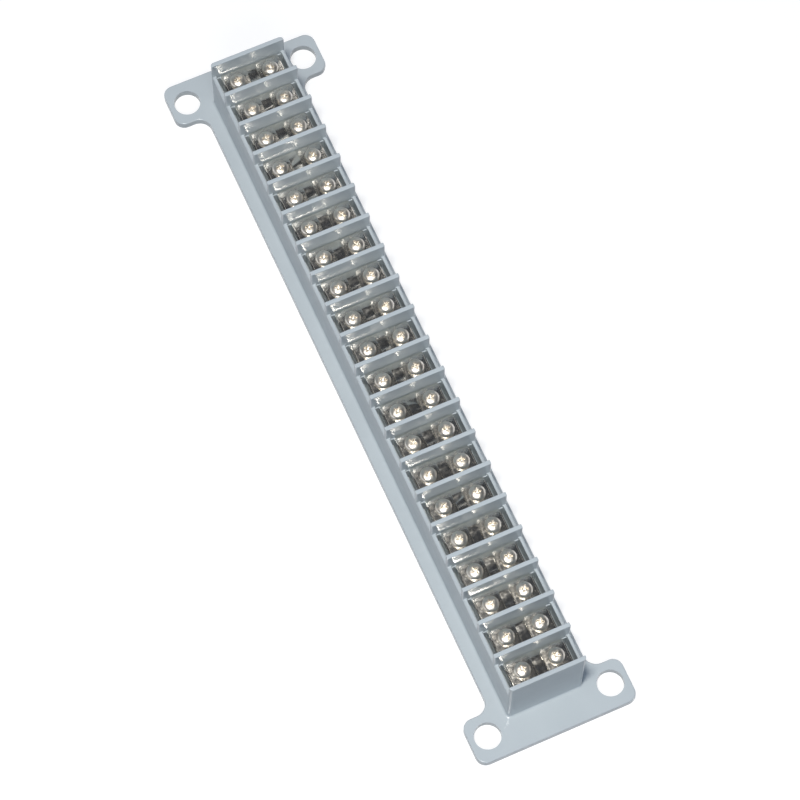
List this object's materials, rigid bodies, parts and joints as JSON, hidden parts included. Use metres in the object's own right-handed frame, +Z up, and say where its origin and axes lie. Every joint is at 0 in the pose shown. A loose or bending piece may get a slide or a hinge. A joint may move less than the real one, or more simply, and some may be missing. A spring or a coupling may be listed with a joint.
{
  "type": "barrier terminal block",
  "caption": "Barrier terminal strip: a row of open cells, each with a plated bar under clamp screws, on a base plate with drilled ears.",
  "frame": {"origin": "centre of the underside of the base plate", "axes": "+X across the strip, +Y along the row of cells, +Z up out of the cells' mouths"},
  "size_m": [0.056, 0.2638, 0.03],
  "materials": {
    "moulding": "satin moulded",
    "bar_plating": "bright nickel plate over brass",
    "screw_plating": "bright nickel plate over steel"
  },
  "bodies": {
    "base": {"moulded_base": "moulding", "conductor_bars": "bar_plating"},
    "screw_01_left": {"screw_01_left": "screw_plating"},
    "screw_01_right": {"screw_01_right": "screw_plating"},
    "screw_02_left": {"screw_02_left": "screw_plating"},
    "screw_02_right": {"screw_02_right": "screw_plating"},
    "screw_03_left": {"screw_03_left": "screw_plating"},
    "screw_03_right": {"screw_03_right": "screw_plating"},
    "screw_04_left": {"screw_04_left": "screw_plating"},
    "screw_04_right": {"screw_04_right": "screw_plating"},
    "screw_05_left": {"screw_05_left": "screw_plating"},
    "screw_05_right": {"screw_05_right": "screw_plating"},
    "screw_06_left": {"screw_06_left": "screw_plating"},
    "screw_06_right": {"screw_06_right": "screw_plating"},
    "screw_07_left": {"screw_07_left": "screw_plating"},
    "screw_07_right": {"screw_07_right": "screw_plating"},
    "screw_08_left": {"screw_08_left": "screw_plating"},
    "screw_08_right": {"screw_08_right": "screw_plating"},
    "screw_09_left": {"screw_09_left": "screw_plating"},
    "screw_09_right": {"screw_09_right": "screw_plating"},
    "screw_10_left": {"screw_10_left": "screw_plating"},
    "screw_10_right": {"screw_10_right": "screw_plating"},
    "screw_11_left": {"screw_11_left": "screw_plating"},
    "screw_11_right": {"screw_11_right": "screw_plating"},
    "screw_12_left": {"screw_12_left": "screw_plating"},
    "screw_12_right": {"screw_12_right": "screw_plating"},
    "screw_13_left": {"screw_13_left": "screw_plating"},
    "screw_13_right": {"screw_13_right": "screw_plating"},
    "screw_14_left": {"screw_14_left": "screw_plating"},
    "screw_14_right": {"screw_14_right": "screw_plating"},
    "screw_15_left": {"screw_15_left": "screw_plating"},
    "screw_15_right": {"screw_15_right": "screw_plating"},
    "screw_16_left": {"screw_16_left": "screw_plating"},
    "screw_16_right": {"screw_16_right": "screw_plating"},
    "screw_17_left": {"screw_17_left": "screw_plating"},
    "screw_17_right": {"screw_17_right": "screw_plating"},
    "screw_18_left": {"screw_18_left": "screw_plating"},
    "screw_18_right": {"screw_18_right": "screw_plating"},
    "screw_19_left": {"screw_19_left": "screw_plating"},
    "screw_19_right": {"screw_19_right": "screw_plating"},
    "screw_20_left": {"screw_20_left": "screw_plating"},
    "screw_20_right": {"screw_20_right": "screw_plating"}
  },
  "joints": [
    {"name": "screw_01_left_travel", "type": "slide", "parent": "base", "child": "screw_01_left", "axis": [0, 0, 1], "range_m": [0, 0.004]},
    {"name": "screw_01_right_travel", "type": "slide", "parent": "base", "child": "screw_01_right", "axis": [0, 0, 1], "range_m": [0, 0.004]},
    {"name": "screw_02_left_travel", "type": "slide", "parent": "base", "child": "screw_02_left", "axis": [0, 0, 1], "range_m": [0, 0.004]},
    {"name": "screw_02_right_travel", "type": "slide", "parent": "base", "child": "screw_02_right", "axis": [0, 0, 1], "range_m": [0, 0.004]},
    {"name": "screw_03_left_travel", "type": "slide", "parent": "base", "child": "screw_03_left", "axis": [0, 0, 1], "range_m": [0, 0.004]},
    {"name": "screw_03_right_travel", "type": "slide", "parent": "base", "child": "screw_03_right", "axis": [0, 0, 1], "range_m": [0, 0.004]},
    {"name": "screw_04_left_travel", "type": "slide", "parent": "base", "child": "screw_04_left", "axis": [0, 0, 1], "range_m": [0, 0.004]},
    {"name": "screw_04_right_travel", "type": "slide", "parent": "base", "child": "screw_04_right", "axis": [0, 0, 1], "range_m": [0, 0.004]},
    {"name": "screw_05_left_travel", "type": "slide", "parent": "base", "child": "screw_05_left", "axis": [0, 0, 1], "range_m": [0, 0.004]},
    {"name": "screw_05_right_travel", "type": "slide", "parent": "base", "child": "screw_05_right", "axis": [0, 0, 1], "range_m": [0, 0.004]},
    {"name": "screw_06_left_travel", "type": "slide", "parent": "base", "child": "screw_06_left", "axis": [0, 0, 1], "range_m": [0, 0.004]},
    {"name": "screw_06_right_travel", "type": "slide", "parent": "base", "child": "screw_06_right", "axis": [0, 0, 1], "range_m": [0, 0.004]},
    {"name": "screw_07_left_travel", "type": "slide", "parent": "base", "child": "screw_07_left", "axis": [0, 0, 1], "range_m": [0, 0.004]},
    {"name": "screw_07_right_travel", "type": "slide", "parent": "base", "child": "screw_07_right", "axis": [0, 0, 1], "range_m": [0, 0.004]},
    {"name": "screw_08_left_travel", "type": "slide", "parent": "base", "child": "screw_08_left", "axis": [0, 0, 1], "range_m": [0, 0.004]},
    {"name": "screw_08_right_travel", "type": "slide", "parent": "base", "child": "screw_08_right", "axis": [0, 0, 1], "range_m": [0, 0.004]},
    {"name": "screw_09_left_travel", "type": "slide", "parent": "base", "child": "screw_09_left", "axis": [0, 0, 1], "range_m": [0, 0.004]},
    {"name": "screw_09_right_travel", "type": "slide", "parent": "base", "child": "screw_09_right", "axis": [0, 0, 1], "range_m": [0, 0.004]},
    {"name": "screw_10_left_travel", "type": "slide", "parent": "base", "child": "screw_10_left", "axis": [0, 0, 1], "range_m": [0, 0.004]},
    {"name": "screw_10_right_travel", "type": "slide", "parent": "base", "child": "screw_10_right", "axis": [0, 0, 1], "range_m": [0, 0.004]},
    {"name": "screw_11_left_travel", "type": "slide", "parent": "base", "child": "screw_11_left", "axis": [0, 0, 1], "range_m": [0, 0.004]},
    {"name": "screw_11_right_travel", "type": "slide", "parent": "base", "child": "screw_11_right", "axis": [0, 0, 1], "range_m": [0, 0.004]},
    {"name": "screw_12_left_travel", "type": "slide", "parent": "base", "child": "screw_12_left", "axis": [0, 0, 1], "range_m": [0, 0.004]},
    {"name": "screw_12_right_travel", "type": "slide", "parent": "base", "child": "screw_12_right", "axis": [0, 0, 1], "range_m": [0, 0.004]},
    {"name": "screw_13_left_travel", "type": "slide", "parent": "base", "child": "screw_13_left", "axis": [0, 0, 1], "range_m": [0, 0.004]},
    {"name": "screw_13_right_travel", "type": "slide", "parent": "base", "child": "screw_13_right", "axis": [0, 0, 1], "range_m": [0, 0.004]},
    {"name": "screw_14_left_travel", "type": "slide", "parent": "base", "child": "screw_14_left", "axis": [0, 0, 1], "range_m": [0, 0.004]},
    {"name": "screw_14_right_travel", "type": "slide", "parent": "base", "child": "screw_14_right", "axis": [0, 0, 1], "range_m": [0, 0.004]},
    {"name": "screw_15_left_travel", "type": "slide", "parent": "base", "child": "screw_15_left", "axis": [0, 0, 1], "range_m": [0, 0.004]},
    {"name": "screw_15_right_travel", "type": "slide", "parent": "base", "child": "screw_15_right", "axis": [0, 0, 1], "range_m": [0, 0.004]},
    {"name": "screw_16_left_travel", "type": "slide", "parent": "base", "child": "screw_16_left", "axis": [0, 0, 1], "range_m": [0, 0.004]},
    {"name": "screw_16_right_travel", "type": "slide", "parent": "base", "child": "screw_16_right", "axis": [0, 0, 1], "range_m": [0, 0.004]},
    {"name": "screw_17_left_travel", "type": "slide", "parent": "base", "child": "screw_17_left", "axis": [0, 0, 1], "range_m": [0, 0.004]},
    {"name": "screw_17_right_travel", "type": "slide", "parent": "base", "child": "screw_17_right", "axis": [0, 0, 1], "range_m": [0, 0.004]},
    {"name": "screw_18_left_travel", "type": "slide", "parent": "base", "child": "screw_18_left", "axis": [0, 0, 1], "range_m": [0, 0.004]},
    {"name": "screw_18_right_travel", "type": "slide", "parent": "base", "child": "screw_18_right", "axis": [0, 0, 1], "range_m": [0, 0.004]},
    {"name": "screw_19_left_travel", "type": "slide", "parent": "base", "child": "screw_19_left", "axis": [0, 0, 1], "range_m": [0, 0.004]},
    {"name": "screw_19_right_travel", "type": "slide", "parent": "base", "child": "screw_19_right", "axis": [0, 0, 1], "range_m": [0, 0.004]},
    {"name": "screw_20_left_travel", "type": "slide", "parent": "base", "child": "screw_20_left", "axis": [0, 0, 1], "range_m": [0, 0.004]},
    {"name": "screw_20_right_travel", "type": "slide", "parent": "base", "child": "screw_20_right", "axis": [0, 0, 1], "range_m": [0, 0.004]}
  ]
}
